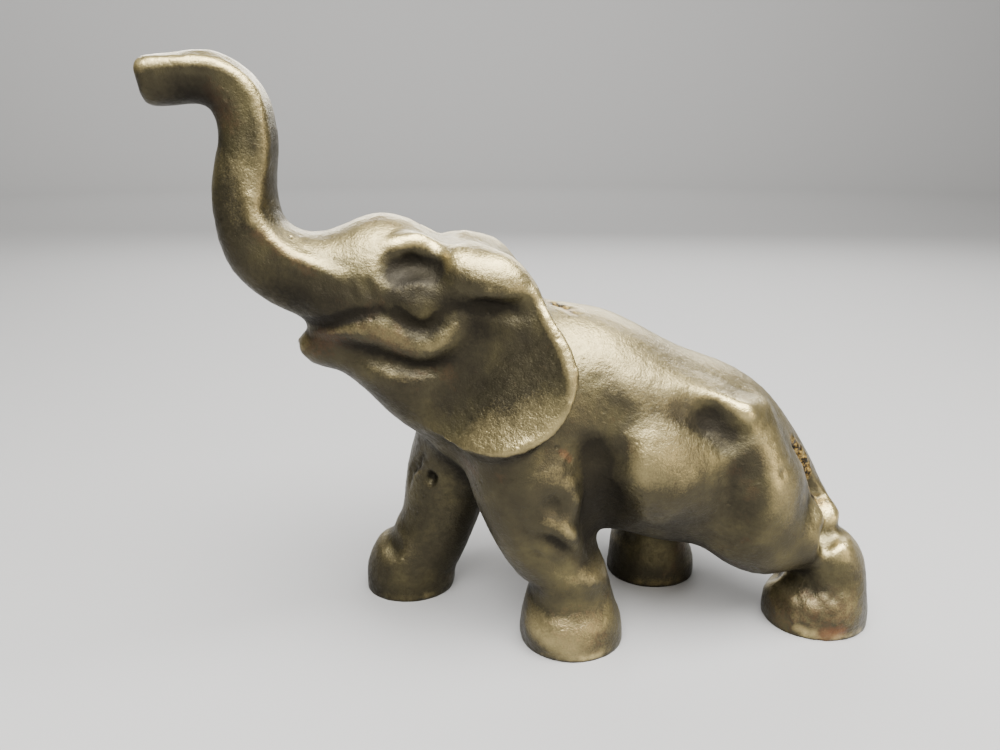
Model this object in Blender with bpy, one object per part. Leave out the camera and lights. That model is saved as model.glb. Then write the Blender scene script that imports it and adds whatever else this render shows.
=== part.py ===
"""A cast bronze elephant in mid stride, its trunk raised in an S.

It looks along -X, its left side is towards -Y, and its four soles rest on Z = 0, with the
origin below the middle of its length. The whole figure is one casting, so it is one solid.
Each mass of the animal is lofted as a closed skin, the skins are fused into one surface,
and strokes then press the hollows and raise the ridges, as a modeller does in clay.

The figure is drawn on a grid GRID_HEIGHT steps high. All points, widths, reaches and rises
in the tables are grid steps, so they are shares of the figure's height.
"""

import bmesh
import bpy
import numpy as np

HEIGHT = 0.131

GRID_HEIGHT = 131
STEP = HEIGHT / GRID_HEIGHT
GRID_ORIGIN = np.array([-0.8, 0.0, 0.0])

NEAR = -1
FAR = 1

# Fineness of the clay and of the finished facets, in grid steps and in counts

CLAY_GRAIN = 1.15
RING_SIDES = 28
RINGS_PER_SPAN = 4
TRIANGLES = 9000

# How far inside corners are filled and edges are softened

CREASE_ROUNDS = 40
CREASE_FILL = 0.78
CREASE_SOFTEN = 0.12
SMOOTH_SHARE = 0.5

# The ear pad, in grid steps and in shares of the way from its root to its rim

EAR_THICKNESS = 3.6
EAR_LIP = 0.7
EAR_LIP_PLACE = 0.92
EAR_LIP_SPREAD = 0.06
EAR_DISH = 2.0
EAR_EDGE_LEFT = 0.02
EAR_EDGE_ROUNDING = 12
EAR_RINGS = 14
EAR_COLUMNS = 24

# The trunk's section: nearly square, drawn in below a widest line above its middle

TRUNK_SQUARENESS = 2.8
TRUNK_KEEL = 0.25
WIDEST_LINE = 0.35

BRONZE_COLOUR = (0.085, 0.066, 0.041, 1.0)
BRONZE_METALLIC = 0.75
BRONZE_ROUGHNESS = 0.42


# Masses of the body. Each station is x, y, z, half width across, half depth in the side view.

TORSO = [
    (-24, 0, 59.6, 13, 15),
    (-10, 0, 57.6, 18.5, 22),
    (6, 0, 52.4, 21.5, 25.6),
    (23, 0, 45.8, 22.5, 23.6),
    (40, 0, 39.6, 20.5, 22.8),
    (53, 0, 33.6, 17, 17.3),
    (62, 0, 29.5, 11.5, 11),
    (67, 0, 26.5, 6, 6),
]

HEAD = [
    (-6, 0, 72.6, 13, 12),
    (-16, 0, 76.4, 15.5, 14.6),
    (-26, 0, 79.2, 15.5, 14.2),
    (-36.5, 0, 83, 13.8, 16.3),
    (-44.5, 0, 84, 12, 13),
    (-51, 0, 84.6, 10.5, 9.6),
]

THROAT = [
    (-14, 0, 53, 13, 11),
    (-26, 0, 59.4, 12.5, 10.6),
    (-36, 0, 66, 11.5, 8),
    (-44, 0, 69.6, 9, 5.6),
    (-50.5, 0, 69.6, 6.4, 4.6),
    (-53.8, 0, 68.3, 3.8, 3.1),
]

TRUNK = [
    (-42, 0, 84, 11.5, 11),
    (-49, 0, 85.2, 10.5, 9.3),
    (-56, 0, 87.4, 9.5, 8.4),
    (-61.4, 0, 92, 8.5, 7.8),
    (-63.6, 0, 98.6, 7.6, 6.9),
    (-63.6, 0, 105.6, 7, 6.6),
    (-61.9, 0, 114, 6.5, 6),
    (-63.2, 0, 121.8, 6.3, 5.8),
    (-68.6, 0, 126.2, 6.3, 5.2),
    (-75.5, 0, 125.6, 6.3, 5),
    (-82, 0, 125.2, 6.2, 5.2),
]

NEAR_FORELEG = [
    (-6, -9, 57, 11, 13),
    (-5, -11.5, 43, 12, 13.5),
    (-1.5, -12.7, 30, 10.8, 12),
    (3, -13, 20, 9.6, 10.2),
    (5, -13, 14, 9.6, 9.6),
    (5.2, -13, 8, 10.8, 11.4),
    (5.6, -13, 3.5, 11.4, 12.4),
    (6, -13, 0, 11.5, 12.2),
    (6, -13, -4, 11, 11.8),
]

FAR_FORELEG = [
    (-15, 10, 55, 11, 12),
    (-18, 13, 42, 11.5, 12),
    (-21.5, 15, 30, 10.5, 11.3),
    (-24, 15, 20, 9.8, 10),
    (-27, 15, 13, 9.9, 10),
    (-30.5, 15, 8, 10.5, 11.4),
    (-32, 15, 3.5, 10.8, 12),
    (-32.3, 15, 0, 10.6, 11.6),
    (-32.3, 15, -4, 10, 11),
]

NEAR_THIGH = [
    (40, -8, 54, 10, 12),
    (42.5, -11, 45, 11.5, 12.5),
    (45.5, -12.5, 35, 11.5, 15.4),
    (51.6, -12.5, 25.6, 10.5, 12),
    (62.5, -12, 23.4, 9.2, 8),
]

NEAR_HIND_FOOT = [
    (65.5, -12, 22, 7.5, 5),
    (68.6, -12, 17.5, 9.3, 8),
    (70, -12, 12.5, 10, 8.6),
    (69, -12, 7.5, 11.4, 11.4),
    (67.8, -12, 3.5, 11.7, 13),
    (67.6, -12, 0, 11.4, 12.8),
    (67.6, -12, -4, 10.8, 12),
]

FAR_THIGH = [
    (40, 8, 55, 10, 12),
    (41, 12, 44, 11.5, 13.5),
    (39, 14.5, 34, 11.5, 14),
    (36, 15, 23, 10.2, 12),
    (33, 15, 14, 10, 10.4),
    (33, 15, 7, 10.8, 11),
    (33.6, 15, 3, 11, 12),
    (33.6, 15, 0, 11.2, 12),
    (33.6, 15, -4, 10.6, 11.4),
]

TAIL = [
    (50, 0, 54, 4.5, 3),
    (59.5, -1, 44, 3.2, 2.6),
    (65.5, -3, 35.5, 2.8, 2.4),
    (68.3, -6.5, 29.5, 3.4, 2.8),
    (68.3, -9.5, 25.5, 4, 3),
    (67.8, -11.8, 22.5, 3.6, 2.4),
    (67, -13, 20.5, 1.8, 1.4),
]

# The far ear: its folded top is a mass, and its plate runs from a root line to a rim line.
# The near ear is its mirror image.

EAR_LOBE = [
    (-25, 8, 84.5, 6, 5.5),
    (-19, 9.8, 85.2, 7, 8),
    (-13, 12, 83.8, 6.8, 7.6),
    (-8, 14.2, 81.8, 5, 5.6),
    (-4.5, 16.5, 79, 2.8, 3),
]

EAR_ROOT = [
    (-23.5, 12, 93.5),
    (-20.5, 14, 86.5),
    (-18.5, 14, 78.5),
    (-19.5, 13, 69.5),
    (-22.5, 12, 60.5),
    (-26.5, 11, 53.5),
]

EAR_RIM = [
    (-16.5, 12, 95),
    (-8, 15, 89.5),
    (-0.8, 20, 80),
    (4.2, 25, 68.5),
    (-0.5, 26, 56.5),
    (-12.5, 24, 50.5),
    (-23.5, 18, 52.5),
]


# Strokes of the modelling tool: reach, rise (below zero presses in), then the path's points.

# Strokes made on both sides of the head, with the points of the far side

HEAD_STROKES = [
    # eye socket, brow, the bag under the eye and the hollow round it
    (4.8, -3, [(-31, 12.5, 90), (-27.5, 12.5, 90.6), (-24.8, 12.6, 90)]),
    (2.8, 1.3, [(-33, 9.5, 93), (-26, 8, 94.2), (-22, 10, 92.2), (-19.8, 14.5, 86.5)]),
    (4.5, 0.6, [(-30, 14.3, 83), (-25.6, 14.7, 82.4)]),
    (3, -1.8, [(-31.2, 14.5, 79), (-28.6, 14.6, 76.4), (-25.3, 15.2, 76.9), (-23.2, 15.4, 79.9)]),
    # mouth cleft, cheek ridge and the fold below it
    (3.2, -3, [(-52, 0, 76.6), (-49.6, 7, 77), (-43.7, 10.9, 77.6), (-35, 13.9, 79.6)]),
    (3.4, 1.3, [(-42, 10, 74), (-34.4, 12, 71), (-30.5, 12, 69.4), (-26.3, 13, 70.4), (-21.5, 15.5, 77)]),
    (2.2, 0.8, [(-36.9, 10.9, 67.9), (-31.7, 11.6, 65.4), (-26.8, 11.7, 66), (-22.5, 13.5, 69.5)]),
    # edges of the trunk's back
    (2.4, 0.7, [(-61.4, 7, 98.5), (-58.5, 7.3, 95.6), (-54.2, 8.7, 91.5), (-45, 11.2, 87.4)]),
    (2.4, 0.6, [(-80, 5, 128.4), (-73, 5.5, 128.4), (-64.3, 5.2, 127.5), (-58.8, 5, 122.4)]),
    (2.4, 0.6, [(-58.8, 5, 121), (-58.2, 5.5, 114)]),
    # valley between neck and ear, the hollow under the ear's fold and the dish of its face
    (4.5, -2, [(-17.8, 15.5, 83), (-15, 16.3, 76.5), (-14.7, 16.6, 69), (-18.5, 15.7, 61), (-23, 14.8, 55)]),
    (4.5, -1.6, [(-14, 17, 80), (-9, 18.5, 80), (-5, 19.5, 79)]),
    (9, -1.4, [(-9, 19, 74), (-7, 20, 66), (-11, 20, 58)]),
]

# Strokes made on both sides of the body, with the points of the far side

BODY_STROKES = [
    # hip bone and the hollow below it
    (4.5, 1.8, [(26, 16.8, 62), (33, 16.2, 60.3), (38, 16, 58.5), (42.3, 17.5, 56.8)]),
    (5.5, -2.6, [(34, 18.5, 56), (37, 19.6, 53), (39, 20.5, 49)]),
    # flank, and the swell of the belly
    (5, -1.6, [(40.5, 21, 48), (40.7, 22, 42.4), (39, 21.8, 35)]),
    (12, 1.5, [(18, 22.3, 46), (24, 22, 44)]),
    # hollow behind the ear
    (6, -0.7, [(9, 20, 61), (11, 21, 57)]),
]

# Strokes made on the near legs and beside the tail

NEAR_STROKES = [
    # valley between foreleg and belly, then the shoulder, the elbow and the wrinkles below
    (6, -2.2, [(10, -21, 53), (9.1, -21.7, 49.7), (9.5, -21, 42.4), (10, -18.9, 34.1), (9.5, -17, 28)]),
    (4, 1.2, [(-1.5, -22.7, 43.5), (3.5, -21.6, 43.2)]),
    (2.5, -0.9, [(-1, -22.5, 39.7), (4, -21.5, 39.5)]),
    (3, 1.3, [(1.9, -22.5, 36.2)]),
    (2.2, -0.8, [(-4, -23, 31.5), (1, -23, 28), (7.5, -21.3, 22.5)]),
    (2.2, 0.6, [(-1, -23.2, 33.3), (3.9, -22.2, 29.9), (8.6, -20.3, 25)]),
    # thigh, the crease over the hind foot, hock and the hollow of the shank
    (5, 1, [(46.5, -20.7, 51), (48.6, -23, 42.4), (50.5, -23.7, 33)]),
    (4.4, -3.2, [(56, -5, 12), (55.5, -12, 12), (56.5, -17, 12.3), (60, -20.5, 13), (65, -21.5, 13.3)]),
    (4, 1, [(69.5, -18, 21.8)]),
    (2.5, -0.8, [(67, -21.4, 17.4), (69.3, -21.8, 13.3)]),
    # crease over the toes of the forefoot
    (3.5, -1.4, [(-6.5, -8, 14.5), (-6.5, -15, 14.5), (-3, -20, 14)]),
    # hole of the casting beside the tail
    (2.6, -2.4, [(58.4, -8.5, 46.8), (61.5, -8.5, 41.5), (64.7, -8.5, 36.2), (67, -8.5, 31.5)]),
]

# Strokes made on the far legs

FAR_STROKES = [
    # shoulder and the valley behind the far foreleg
    (6, -2, [(-5, 21, 52), (-6, 21, 44), (-8, 20, 36)]),
    (4, 1, [(-16, 23, 44), (-11, 23, 43)]),
    # creases over the toes of the far forefoot and the far hind foot
    (3.5, -1.2, [(-38, 10, 15.5), (-37.5, 18, 15.5), (-33, 24, 14.5)]),
    (3.5, -1.2, [(22.5, 11, 14), (22.5, 18, 14), (27, 24.5, 13.5)]),
]


def placed(points):
    """Grid points as places in metres."""
    return (np.array(points, float) - GRID_ORIGIN) * STEP


def curve_through(stations, per_span):
    """Rows read from one smooth curve through the stations, per_span to each gap."""
    rows = np.array(stations, float)
    padded = np.vstack([2 * rows[0] - rows[1], rows, 2 * rows[-1] - rows[-2]])
    read = []
    for before, start, end, after in zip(padded, padded[1:], padded[2:], padded[3:]):
        leave, arrive = (end - before) / 2, (after - start) / 2
        for t in np.arange(per_span) / per_span:
            read.append(
                (2 * t**3 - 3 * t**2 + 1) * start
                + (t**3 - 2 * t**2 + t) * leave
                + (3 * t**2 - 2 * t**3) * end
                + (t**3 - t**2) * arrive
            )
    return np.array(read + [rows[-1]])


def unit(vectors):
    return vectors / np.linalg.norm(vectors, axis=-1, keepdims=True)


def mirrored(rows, side):
    """The rows of the far side, or their mirror image for the near side."""
    return [(x, side * y, *rest) for x, y, *rest in rows]


def ring_shape(squareness, keel):
    """Shares across and in depth round a ring, from 2 for an oval to higher for a square."""
    turn = np.linspace(0, 2 * np.pi, RING_SIDES, endpoint=False)
    power = 2 / squareness
    across = np.sign(np.cos(turn)) * np.abs(np.cos(turn)) ** power
    depth = np.sign(np.sin(turn)) * np.abs(np.sin(turn)) ** power
    below = np.clip((WIDEST_LINE + depth) / (WIDEST_LINE + 1), 0, 1)
    return across * (1 - keel * below), depth


def loft(shape, stations, squareness=2.0, keel=0.0):
    """Adds a closed skin over the stations to the bmesh shape."""
    rows = curve_through(stations, RINGS_PER_SPAN)
    centres = placed(rows[:, :3])
    along = unit(np.gradient(centres, axis=0))
    sideways = unit(np.array([0, 1, 0]) - along * along[:, 1:2])
    inward = np.cross(along, sideways)
    across, depth = ring_shape(squareness, keel)
    rings = []
    for centre, side, down, (wide, deep) in zip(centres, sideways, inward, rows[:, 3:] * STEP):
        points = centre + np.outer(across * wide, side) + np.outer(depth * deep, down)
        rings.append([shape.verts.new(p) for p in points])
    for lower, upper in zip(rings, rings[1:]):
        for i in range(RING_SIDES):
            j = (i + 1) % RING_SIDES
            shape.faces.new((lower[i], lower[j], upper[j], upper[i]))
    shape.faces.new(rings[0][::-1])
    shape.faces.new(rings[-1])


def spread(line, count):
    """Count points spread evenly over the curve through a line's points."""
    rows = curve_through(line, count)
    return rows[np.linspace(0, len(rows) - 1, count).round().astype(int)]


def ear_plate(shape, side):
    """Adds an ear as a closed pad, dished on its outer face and thicker along its rim."""
    root = spread(EAR_ROOT, EAR_COLUMNS)
    rim = spread(EAR_RIM, EAR_COLUMNS)
    share = np.sin(np.linspace(0, np.pi / 2, EAR_RINGS))[:, None, None]
    middle = root + (rim - root) * share
    share = share[:, :, 0]
    middle[:, :, 1] -= EAR_DISH * np.sin(np.pi * share)
    lip = EAR_LIP * np.exp(-(((share - EAR_LIP_PLACE) / EAR_LIP_SPREAD) ** 2))
    half = (EAR_THICKNESS / 2 + lip) * np.sqrt(1 + EAR_EDGE_LEFT - share**EAR_EDGE_ROUNDING)
    layers = []
    for face in (1, -1):
        layer = middle.copy()
        layer[:, :, 1] = side * (middle[:, :, 1] + face * half)
        layers.append([[shape.verts.new(p) for p in row] for row in placed(layer)])
    for layer in layers:
        for low, high in zip(layer, layer[1:]):
            for i in range(EAR_COLUMNS - 1):
                shape.faces.new((low[i], low[i + 1], high[i + 1], high[i]))
    top, bottom = layers
    border = [(row[0], other[0]) for row, other in zip(top, bottom)]
    border += [(a, b) for a, b in zip(top[-1], bottom[-1])][1:]
    border += [(row[-1], other[-1]) for row, other in zip(top, bottom)][-2::-1]
    border += [(a, b) for a, b in zip(top[0], bottom[0])][-2:0:-1]
    for (a, b), (c, d) in zip(border, border[1:] + border[:1]):
        shape.faces.new((a, b, d, c))


def applied(piece):
    """Replaces the piece's mesh with the one its modifiers make."""
    bpy.context.view_layer.update()
    graph = bpy.context.evaluated_depsgraph_get()
    mesh = bpy.data.meshes.new_from_object(piece.evaluated_get(graph))
    piece.modifiers.clear()
    piece.data = mesh


def fused(name, shape):
    """The bmesh as an object whose overlapping skins are one closed surface."""
    bmesh.ops.recalc_face_normals(shape, faces=shape.faces)
    mesh = bpy.data.meshes.new(name)
    shape.to_mesh(mesh)
    shape.free()
    piece = bpy.data.objects.new(name, mesh)
    bpy.context.scene.collection.objects.link(piece)
    remesh = piece.modifiers.new("One skin", "REMESH")
    remesh.mode = "VOXEL"
    remesh.voxel_size = CLAY_GRAIN * STEP
    applied(piece)
    return piece


class Clay:
    """A closed mesh as arrays of points, pushed along its normals and smoothed."""

    def __init__(self, mesh):
        self.mesh = mesh
        self.points = np.empty(len(mesh.vertices) * 3)
        mesh.vertices.foreach_get("co", self.points)
        self.points = self.points.reshape(-1, 3)
        edges = np.empty(len(mesh.edges) * 2, int)
        mesh.edges.foreach_get("vertices", edges)
        edges = edges.reshape(-1, 2)
        self.ends = np.concatenate([edges[:, 0], edges[:, 1]])
        self.others = np.concatenate([edges[:, 1], edges[:, 0]])
        self.valence = np.bincount(self.ends, minlength=len(self.points))[:, None]

    def store(self):
        self.mesh.vertices.foreach_set("co", self.points.astype(np.float32).ravel())
        self.mesh.update()

    def normals(self):
        self.store()
        found = np.empty(len(self.points) * 3)
        self.mesh.vertex_normals.foreach_get("vector", found)
        return found.reshape(-1, 3)

    def drift(self):
        """How far each point is from the middle of its neighbours."""
        total = [
            np.bincount(self.ends, self.points[self.others, axis], len(self.points))
            for axis in range(3)
        ]
        return np.stack(total, axis=1) / self.valence - self.points

    def smooth(self, rounds):
        for _ in range(rounds):
            self.points += SMOOTH_SHARE * self.drift()

    def fill_creases(self, rounds):
        """Fills the inside corners between masses and leaves outside edges nearly as they are."""
        for _ in range(rounds):
            normals = self.normals()
            drift = self.drift()
            rise = np.einsum("ij,ij->i", drift, normals)
            self.points += CREASE_SOFTEN * drift
            self.points += CREASE_FILL * np.maximum(rise, 0)[:, None] * normals

    def stroke(self, reach, rise, path):
        """Raises a soft band of the surface along the path, or presses it in."""
        path = placed(path)
        gap = np.linalg.norm(self.points - path[0], axis=1)
        for start, end in zip(path, path[1:]):
            way = end - start
            share = np.clip((self.points - start) @ way / (way @ way), 0, 1)
            foot = start + share[:, None] * way
            gap = np.minimum(gap, np.linalg.norm(self.points - foot, axis=1))
        fade = np.clip(1 - (gap / (reach * STEP)) ** 2, 0, 1) ** 2
        self.points += rise * STEP * fade[:, None] * self.normals()


def cut_soles(mesh):
    """Cuts the feet flat where they meet the ground."""
    shape = bmesh.new()
    shape.from_mesh(mesh)
    everything = shape.verts[:] + shape.edges[:] + shape.faces[:]
    cut = bmesh.ops.bisect_plane(
        shape, geom=everything, plane_co=(0, 0, 0), plane_no=(0, 0, 1), clear_inner=True
    )
    rims = [part for part in cut["geom_cut"] if isinstance(part, bmesh.types.BMEdge)]
    bmesh.ops.holes_fill(shape, edges=rims)
    bmesh.ops.triangulate(shape, faces=shape.faces)
    bmesh.ops.recalc_face_normals(shape, faces=shape.faces)
    shape.to_mesh(mesh)
    shape.free()


def thinned(piece, triangles):
    """Leaves about so many triangles, most of them where the surface turns."""
    now = sum(len(face.vertices) - 2 for face in piece.data.polygons)
    fewer = piece.modifiers.new("Fewer faces", "DECIMATE")
    fewer.ratio = triangles / now
    applied(piece)


def bronze():
    """Dark brown patina over bronze."""
    material = bpy.data.materials.new("bronze")
    material.use_nodes = True
    shader = material.node_tree.nodes["Principled BSDF"]
    shader.inputs["Base Color"].default_value = BRONZE_COLOUR
    shader.inputs["Metallic"].default_value = BRONZE_METALLIC
    shader.inputs["Roughness"].default_value = BRONZE_ROUGHNESS
    return material


def masses():
    """Every mass of the figure as overlapping closed skins in one bmesh."""
    shape = bmesh.new()
    for stations in (TORSO, HEAD, THROAT, TAIL, NEAR_FORELEG, FAR_FORELEG):
        loft(shape, stations)
    for stations in (NEAR_THIGH, NEAR_HIND_FOOT, FAR_THIGH):
        loft(shape, stations)
    loft(shape, TRUNK, TRUNK_SQUARENESS, TRUNK_KEEL)
    for side in (NEAR, FAR):
        loft(shape, mirrored(EAR_LOBE, side))
        ear_plate(shape, side)
    return shape


def modelled(mesh):
    """Works the fused mesh as clay: fills its creases, then makes every stroke."""
    clay = Clay(mesh)
    clay.fill_creases(CREASE_ROUNDS)
    clay.smooth(1)
    for reach, rise, path in HEAD_STROKES + BODY_STROKES:
        for side in (NEAR, FAR):
            clay.stroke(reach, rise, mirrored(path, side))
    for reach, rise, path in NEAR_STROKES + FAR_STROKES:
        clay.stroke(reach, rise, path)
    clay.smooth(1)
    clay.store()


def build():
    for old in list(bpy.data.objects):
        bpy.data.objects.remove(old)
    elephant = fused("elephant", masses())
    modelled(elephant.data)
    thinned(elephant, TRIANGLES)
    cut_soles(elephant.data)
    elephant.data.shade_smooth()
    elephant.data.materials.clear()
    elephant.data.materials.append(bronze())


build()
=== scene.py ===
import bmesh
import bpy
import numpy as np
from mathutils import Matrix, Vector, noise


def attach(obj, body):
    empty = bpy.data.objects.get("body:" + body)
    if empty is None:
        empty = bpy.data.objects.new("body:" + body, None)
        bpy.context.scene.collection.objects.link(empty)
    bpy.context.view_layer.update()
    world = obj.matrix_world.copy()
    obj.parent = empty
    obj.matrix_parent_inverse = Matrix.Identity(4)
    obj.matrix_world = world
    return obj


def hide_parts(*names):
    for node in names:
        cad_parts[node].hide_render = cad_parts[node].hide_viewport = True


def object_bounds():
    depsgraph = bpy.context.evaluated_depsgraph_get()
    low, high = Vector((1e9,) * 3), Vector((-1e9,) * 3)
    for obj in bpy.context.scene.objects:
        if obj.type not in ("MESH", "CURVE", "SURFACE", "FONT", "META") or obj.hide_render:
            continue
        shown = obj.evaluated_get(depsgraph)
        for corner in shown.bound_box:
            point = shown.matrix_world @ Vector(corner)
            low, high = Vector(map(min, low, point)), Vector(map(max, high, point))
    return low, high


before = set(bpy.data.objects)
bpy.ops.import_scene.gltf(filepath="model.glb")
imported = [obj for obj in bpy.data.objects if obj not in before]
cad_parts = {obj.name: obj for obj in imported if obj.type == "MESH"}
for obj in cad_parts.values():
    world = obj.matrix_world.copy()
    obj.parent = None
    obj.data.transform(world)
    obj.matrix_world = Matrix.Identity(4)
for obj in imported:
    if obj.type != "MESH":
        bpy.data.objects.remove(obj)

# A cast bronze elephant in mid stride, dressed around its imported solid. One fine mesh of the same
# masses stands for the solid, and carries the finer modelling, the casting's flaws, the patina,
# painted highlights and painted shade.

CAD_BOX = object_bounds()

# The figure's grid, as in the solid: HEIGHT metres are GRID_HEIGHT steps

HEIGHT = 0.131

GRID_HEIGHT = 131
STEP = HEIGHT / GRID_HEIGHT
GRID_ORIGIN = np.array([-0.8, 0.0, 0.0])

NEAR = -1
FAR = 1
BOTH = (NEAR, FAR)
ONLY_NEAR = (NEAR,)

# The clay: its grain, the rings of a mass, and how creases are filled

CLAY_GRAIN = 1.15
RING_SIDES = 56
RINGS_PER_SPAN = 8

CREASE_ROUNDS = 40
CREASE_FILL = 0.78
CREASE_SOFTEN = 0.12
SMOOTH_SHARE = 0.5

STROKE_SPANS = 5
PATH_SMOOTHING = 4
SMALLEST = 1e-12
FILL_CHECK = 6
BOX_MARGIN = 0.00002
TRIANGLES = 192000

SMOOTH_BEFORE = 1
SMOOTH_AFTER = 4

# The ear's plate: thickness, the bead along its rim, its dish and its rounded edge

EAR_THICKNESS = 3.6
EAR_LIP = 0.7
EAR_LIP_PLACE = 0.92
EAR_LIP_SPREAD = 0.06
EAR_DISH = 2.2
EAR_EDGE_LEFT = 0.02
EAR_EDGE_ROUNDING = 12
EAR_RINGS = 28
EAR_COLUMNS = 48

# The trunk's section, and where a ring with a keel starts to narrow

TRUNK_SQUARENESS = 2.8
TRUNK_KEEL = 0.25
WIDEST_LINE = 0.35


def mirrored(rows, side):
    """The rows of the far side, or their mirror image for the near side."""
    return [(x, side * y, *rest) for x, y, *rest in rows]


# Masses of the body. Each station is x, y, z, half width across, half depth in the side view.

TORSO = [
    (-24, 0, 59.6, 13, 15),
    (-10, 0, 57.6, 18.5, 22),
    (6, 0, 52.4, 21.5, 25.6),
    (23, 0, 45.8, 22.5, 23.6),
    (40, 0, 39.6, 20.5, 22.8),
    (53, 0, 33.6, 17, 17.3),
    (62, 0, 29.5, 11.5, 11),
    (67, 0, 26.5, 6, 6),
]

HEAD = [
    (-6, 0, 72.6, 13, 12),
    (-16, 0, 76.4, 15.5, 14.6),
    (-26, 0, 79.2, 15.5, 14.2),
    (-36.5, 0, 83, 13.8, 16.3),
    (-44.5, 0, 84, 12, 13),
    (-51, 0, 84.6, 10.5, 9.6),
]

THROAT = [
    (-14, 0, 53, 13, 11),
    (-26, 0, 59.4, 12.5, 10.6),
    (-36, 0, 66, 11.5, 8),
    (-44, 0, 69.6, 9, 5.6),
    (-50.5, 0, 69.6, 6.4, 4.6),
    (-53.8, 0, 68.3, 3.8, 3.1),
]

TRUNK = [
    (-42, 0, 84, 11.5, 11),
    (-49, 0, 85.2, 10.5, 9.3),
    (-56, 0, 87.4, 9.5, 8.4),
    (-61.4, 0, 92, 8.5, 7.8),
    (-63.6, 0, 98.6, 7.6, 6.9),
    (-63.6, 0, 105.6, 7, 6.6),
    (-61.9, 0, 114, 6.5, 6),
    (-63.2, 0, 121.8, 6.3, 5.8),
    (-68.6, 0, 126.2, 6.3, 5.2),
    (-75.5, 0, 125.6, 6.3, 5),
    (-82, 0, 125.2, 6.2, 5.2),
]

NEAR_FORELEG = [
    (-6, -9, 57, 11, 13),
    (-5, -11.5, 43, 12, 13.5),
    (-1.5, -12.7, 30, 10.8, 12),
    (3, -13, 20, 9.6, 10.2),
    (5, -13, 14, 9.6, 9.6),
    (5.2, -13, 8, 10.8, 11.4),
    (5.6, -13, 3.5, 11.4, 12.4),
    (6, -13, 0, 11.5, 12.2),
    (6, -13, -4, 11, 11.8),
]

FAR_FORELEG = [
    (-15, 10, 55, 11, 12),
    (-18, 13, 42, 11.5, 12),
    (-21.5, 15, 30, 10.5, 11.3),
    (-24, 15, 20, 9.8, 10),
    (-27, 15, 13, 9.9, 10),
    (-30.5, 15, 8, 10.5, 11.4),
    (-32, 15, 3.5, 10.8, 12),
    (-32.3, 15, 0, 10.6, 11.6),
    (-32.3, 15, -4, 10, 11),
]

NEAR_THIGH = [
    (40, -8, 54, 10, 12),
    (42.5, -11, 45, 11.5, 12.5),
    (45.5, -12.5, 35, 11.5, 15.4),
    (51.6, -12.5, 25.6, 10.5, 12),
    (62.5, -12, 23.4, 9.2, 8),
]

NEAR_HIND_FOOT = [
    (65.5, -12, 22, 7.5, 5),
    (68.6, -12, 17.5, 9.3, 8),
    (70, -12, 12.5, 10, 8.6),
    (69, -12, 7.5, 11.4, 11.4),
    (67.8, -12, 3.5, 11.7, 13),
    (67.6, -12, 0, 11.4, 12.8),
    (67.6, -12, -4, 10.8, 12),
]

FAR_THIGH = [
    (40, 8, 55, 10, 12),
    (41, 12, 44, 11.5, 13.5),
    (39, 14.5, 34, 11.5, 14),
    (36, 15, 23, 10.2, 12),
    (33, 15, 14, 10, 10.4),
    (33, 15, 7, 10.8, 11),
    (33.6, 15, 3, 11, 12),
    (33.6, 15, 0, 11.2, 12),
    (33.6, 15, -4, 10.6, 11.4),
]

TAIL = [
    (50, 0, 54, 4.5, 3),
    (59.5, -1, 44, 3.2, 2.6),
    (65.5, -3, 35.5, 2.8, 2.4),
    (68.3, -6.5, 29.5, 3.4, 2.8),
    (68.3, -9.5, 25.5, 4, 3),
    (67.8, -11.8, 22.5, 3.6, 2.4),
    (67, -13, 20.5, 1.8, 1.4),
]

# The far ear: its folded top is a mass, and its plate runs from a root line to a rim line.
# The near ear is its mirror image.

EAR_LOBE = [
    (-28, 5, 84.5, 3, 3),
    (-23, 8, 84.9, 5.2, 5.6),
    (-18.5, 9.9, 85.1, 6.9, 8),
    (-13, 12, 83.8, 6.8, 7.6),
    (-8, 14.2, 81.8, 5, 5.6),
    (-4.5, 16.5, 79, 2.8, 3),
]

EAR_ROOT = [
    (-22.5, 5.5, 91),
    (-20.5, 10.5, 86.5),
    (-18.5, 13, 78.5),
    (-19.5, 13, 69.5),
    (-22.5, 12, 60.5),
    (-28.5, 9.5, 55.5),
]

EAR_RIM = [
    (-17.5, 9.5, 95),
    (-8, 14.6, 89.6),
    (-0.8, 20, 80),
    (4.2, 25, 68.5),
    (-0.5, 26, 56.5),
    (-10, 24.6, 50.8),
    (-18, 20.5, 50),
    (-25, 15.5, 51.5),
    (-29, 12, 54),
]


# Strokes of the modelling tool: reach, rise (below zero presses in), then the path's points.
# A fourth number at a point is the tool's pressure there.

# Paths of the head that strokes and patina share, with the points of the far side

UNDER_EYE = [
    (-34.5, 13.6, 81, 0.2), (-31.6, 14.2, 78.4, 0.8), (-28.6, 14.6, 76.4),
    (-25.2, 15.2, 77), (-22.8, 15.4, 80.2, 0.3),
]
MOUTH = [(-51, 3.5, 77, 0.3), (-46.3, 6.8, 78.2), (-40.6, 9.6, 79.6), (-36, 11.4, 80, 0.4)]
CHEEK = [
    (-50, 5.2, 73.4, 0.3), (-44, 8.2, 75.8, 0.8), (-38.5, 10.6, 76, 0.9), (-33.6, 13, 73.6),
    (-29.6, 13.2, 71.4), (-25.6, 14, 72.4), (-22, 16, 76.5, 0.6),
]
UNDER_CHEEK = [
    (-46, 8.8, 71.5, 0), (-41, 11, 70.8), (-36, 11.8, 69.2), (-30, 12.4, 67),
    (-25, 13, 67.6), (-21.4, 14.6, 71, 0),
]
EAR_BEAD = [
    (-4.6, 18, 84.5, 0.3), (-2.9, 19.7, 79.5), (0.6, 23, 72), (2, 25, 64.6),
    (-1.4, 24.9, 58.2), (-7.4, 24, 53.5), (-14.5, 22.1, 51, 0.3),
]

# Strokes made on both sides of the head

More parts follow.
